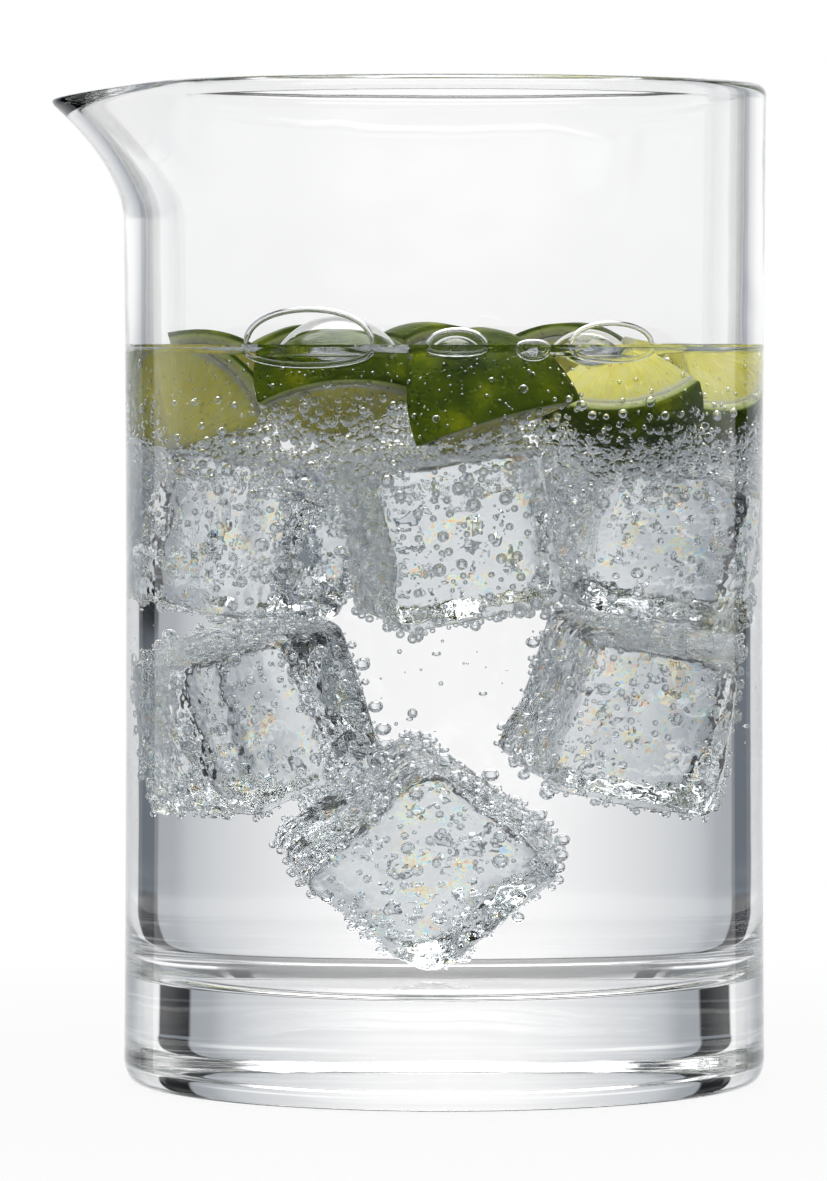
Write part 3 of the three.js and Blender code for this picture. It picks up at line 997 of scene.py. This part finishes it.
def makeLimes():
    finishes = {"peel": peelFinish(), "flesh": fleshFinish()}
    wedges = []
    for number in range(1, limeSizes["count"] + 1):
        corner, stand = wedgeFrame(number)
        for part, shape in (("peel", peelShape), ("flesh", fleshShape)):
            points, faces = shape(number)
            placed = [corner + stand @ point for point in points]
            piece = pieceFrom(f"cut_lime_{part}_{number}", placed, faces, finishes[part])
            markFruitPlace(piece, points)
            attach(piece, "drink")
            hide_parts(f"lime_{part}_{number}")
            wedges.append(piece)
    print("lime wedges cut:", limeSizes["count"])
    return wedges


# bubbles of gas, scattered over whatever they cling to

iceBubbles = {"spacing": 0.8 * mm, "density": 1.4e6, "smallest": 0.16 * mm, "largest": 0.62 * mm,
              "bigSpacing": 2.0 * mm, "bigDensity": 2.2e5, "bigSmallest": 0.5 * mm, "bigLargest": 1.05 * mm,
              "patchSize": 6 * mm, "seed": 3}
limeBubbles = {"spacing": 0.9 * mm, "density": 6.0e5, "smallest": 0.12 * mm, "largest": 0.4 * mm,
               "bigSpacing": 4 * mm, "bigDensity": 2.0e4, "bigSmallest": 0.45 * mm, "bigLargest": 0.85 * mm,
               "patchSize": 5 * mm, "seed": 11}
wallBubbles = {"spacing": 2.0 * mm, "density": 7.0e4, "smallest": 0.12 * mm, "largest": 0.4 * mm,
               "bigSpacing": 7 * mm, "bigDensity": 3.0e3, "bigSmallest": 0.45 * mm, "bigLargest": 0.75 * mm,
               "patchSize": 14 * mm, "seed": 23}
wallBand = {"low": 48 * mm, "rings": 12, "offWall": 0.15 * mm}
# bubbles that rise off the ice gather where it meets the lime
foamBand = {"low": 84 * mm, "middle": 89 * mm, "high": 93 * mm}
bubbleHabits = {"bareBelow": 0.35, "patchGain": 4, "foamGain": 0.8, "mostlySmall": 1.8, "standOff": 1.02,
                "bigSeed": 40, "belowSurface": 0.8 * mm, "tint": (0.95, 0.96, 0.97, 1)}
risenFoam = {"tries": 22000, "reach": 41 * mm, "low": 83 * mm, "high": 97 * mm, "below": 5.5 * mm,
             "loose": 0.08, "seed": 5}
foamBalls = {"smallest": 0.2 * mm, "largest": 0.8 * mm}


def bubbleFinish():
    material, bench = startFinish("gasBubble")
    air = bench.node("ShaderNodeBsdfGlass", {}, {"Color": bubbleHabits["tint"], "Roughness": 0.0,
                                                 "IOR": bends["gas"]})
    return endFinish(material, bench, air)


def ballsOn(bench, points, radius, finish):
    # a small ball of the given radius on each point, which ends the tree
    ball = bench.node("GeometryNodeMeshIcoSphere", {}, {"Radius": 1.0, "Subdivisions": 2})
    balls = bench.node("GeometryNodeInstanceOnPoints", {},
                       {"Points": points, "Instance": ball, "Scale": radius})
    endTree(bench, balls, finish)
    return bench


def storedValue(bench, name):
    return bench.node("GeometryNodeInputNamedAttribute", {"data_type": "FLOAT"}, {"Name": name})


def bubbleTree(sizes, finish):
    bench, given = startTree("gasBubbles", sizes)
    height = partsOf(bench, bench.node("GeometryNodeInputPosition"), "Z")
    patch = bench.node("ShaderNodeTexNoise", {}, {"Scale": 1 / given.out("patchSize"), "Detail": 1.0})
    foam = (rise(bench, height, foamBand["low"], foamBand["middle"])
            * (1 - rise(bench, height, foamBand["middle"], foamBand["high"])))
    gathered = foam * bubbleHabits["foamGain"]
    crowd = ((patch - bubbleHabits["bareBelow"]) * bubbleHabits["patchGain"] + gathered).clamped()
    under = height.maths("LESS_THAN", given.out("ceiling"))

    def scatter(prefix, seedShift):
        names = {key: key if not prefix else prefix + key[0].upper() + key[1:]
                 for key in ("spacing", "density", "smallest", "largest")}
        seed = given.out("seed") + seedShift
        dots = bench.node("GeometryNodeDistributePointsOnFaces", {"distribute_method": "POISSON"}, {
            "Mesh": given, "Distance Min": given.out(names["spacing"]),
            "Density Max": given.out(names["density"]), "Density Factor": crowd * under,
            "Seed": seed}, "Points")
        chance = bench.node("FunctionNodeRandomValue", {"data_type": "FLOAT"}, {"Seed": seed + 1})
        low, high = given.out(names["smallest"]), given.out(names["largest"])
        radius = low + (high - low) * chance ** bubbleHabits["mostlySmall"]
        lift = vectorOf(bench, "SCALE", {0: dots.out("Normal"), "Scale": radius * bubbleHabits["standOff"]})
        raised = bench.node("GeometryNodeSetPosition", {}, {"Geometry": dots, "Offset": lift})
        return bench.node("GeometryNodeStoreNamedAttribute", {"data_type": "FLOAT", "domain": "POINT"},
                          {"Geometry": raised, "Name": "bubbleSize", "Value": radius})

    big = scatter("big", bubbleHabits["bigSeed"])
    small = scatter("", 0)
    near = bench.node("GeometryNodeProximity", {"target_element": "POINTS"}, {0: big}, "Distance")
    crowded = near.maths("LESS_THAN", given.out("bigLargest") + given.out("largest"))
    kept = bench.node("GeometryNodeDeleteGeometry", {"domain": "POINT"},
                      {"Geometry": small, "Selection": crowded})
    both = bench.node("GeometryNodeJoinGeometry", {}, {"Geometry": [big, kept]})
    return ballsOn(bench, both, storedValue(bench, "bubbleSize"), finish)


def blowBubbles(name, host, sizes, finish):
    piece = bpy.data.objects.new(name, host.data.copy())
    bpy.context.scene.collection.objects.link(piece)
    settle(piece, bubbleTree(sizes, finish), sizes)
    if not piece.data.polygons:  # all of this host is above the water
        bpy.data.objects.remove(piece)
        return 0
    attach(piece, "drink")
    return len(piece.data.polygons)


def wallHost():
    # the wetted inside of the glass, facing the water
    rings = [(innerRadius(height) - wallBand["offWall"], float(height))
             for height in np.linspace(wallBand["low"], waterSizes["level"], wallBand["rings"])]
    sides = waterSizes["sides"]
    return pieceFrom("wallHost", ringPoints(rings, sides), sleeveFaces(len(rings), sides))


def solidTree(pieces):
    points, faces = [], []
    for piece in pieces:
        faces += [[index + len(points) for index in face.vertices] for face in piece.data.polygons]
        points += [vertex.co for vertex in piece.data.vertices]
    return BVHTree.FromPolygons(points, faces)


def foamSpots(cubes, wedges):
    # free bubbles held up below the lime, clear of every solid and of each other
    chance = random.Random(risenFoam["seed"])
    solid, roof = solidTree(cubes + wedges), solidTree(wedges)
    spots, taken = [], set()
    for trial in range(risenFoam["tries"]):
        share = chance.random() ** 2
        size = foamBalls["smallest"] + (foamBalls["largest"] - foamBalls["smallest"]) * share
        away, turn = risenFoam["reach"] * math.sqrt(chance.random()), 2 * math.pi * chance.random()
        height = risenFoam["low"] + (risenFoam["high"] - risenFoam["low"]) * chance.random()
        spot = Vector((away * math.cos(turn), away * math.sin(turn), height))
        held = roof.ray_cast(spot, Vector((0, 0, 1)), risenFoam["below"])[0] is not None
        if not held and chance.random() > risenFoam["loose"]:
            continue
        touch, out, face, gap = solid.find_nearest(spot)
        if gap < size or (spot - touch).dot(out) < 0:
            continue
        cell = tuple(round(value / foamBalls["largest"]) for value in spot)
        if cell not in taken:
            taken.add(cell)
            spots.append((spot, share))
    return spots


def foamTree(finish):
    bench, given = startTree("risenFoam", foamBalls)
    low, high = given.out("smallest"), given.out("largest")
    return ballsOn(bench, given, low + (high - low) * storedValue(bench, "bubbleShare"), finish)


def makeFoam(cubes, wedges, finish):
    spots = foamSpots(cubes, wedges)
    for side in ("left", "right"):
        part = [(spot, share) for spot, share in spots if (spot.x < 0) == (side == "left")]
        piece = pieceFrom("risen_foam_" + side, [spot for spot, share in part], [])
        shares = piece.data.attributes.new("bubbleShare", "FLOAT", "POINT")
        shares.data.foreach_set("value", [share for spot, share in part])
        settle(piece, foamTree(finish), foamBalls)
        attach(piece, "drink")
        print("foam held under the lime,", side + ":", len(part), "bubbles")


def makeBubbles(cubes, wedges):
    finish = bubbleFinish()
    makeFoam(cubes, wedges, finish)
    ceiling = waterSizes["level"] - bubbleHabits["belowSurface"]
    total = 0
    for number, cube in enumerate(cubes, 1):
        sizes = {**iceBubbles, "ceiling": ceiling, "seed": iceBubbles["seed"] + number}
        total += blowBubbles(f"ice_bubbles_{number}", cube, sizes, finish)
    for number, wedge in enumerate(wedges, 1):
        sizes = {**limeBubbles, "ceiling": ceiling, "seed": limeBubbles["seed"] + number}
        total += blowBubbles(f"lime_bubbles_{number}", wedge, sizes, finish)
    host = wallHost()
    total += blowBubbles("wall_bubbles", host, {**wallBubbles, "ceiling": ceiling}, finish)
    bpy.data.objects.remove(host)
    print("bubbles risen,", total, "faces")


def setLightPaths():
    # light crosses many clear surfaces here
    cycles = bpy.context.scene.cycles
    cycles.max_bounces = 96
    cycles.transmission_bounces = 96
    cycles.glossy_bounces = 48
    cycles.transparent_max_bounces = 48


bpy.context.scene.view_settings.view_transform = "Standard"
setLightPaths()
makeCamera()
makeWorld()
makeFloor()
makeJug()
makeWater()
makeFilms()
iceCubes = makeIce()
limeWedges = makeLimes()
makeBubbles(iceCubes, limeWedges)
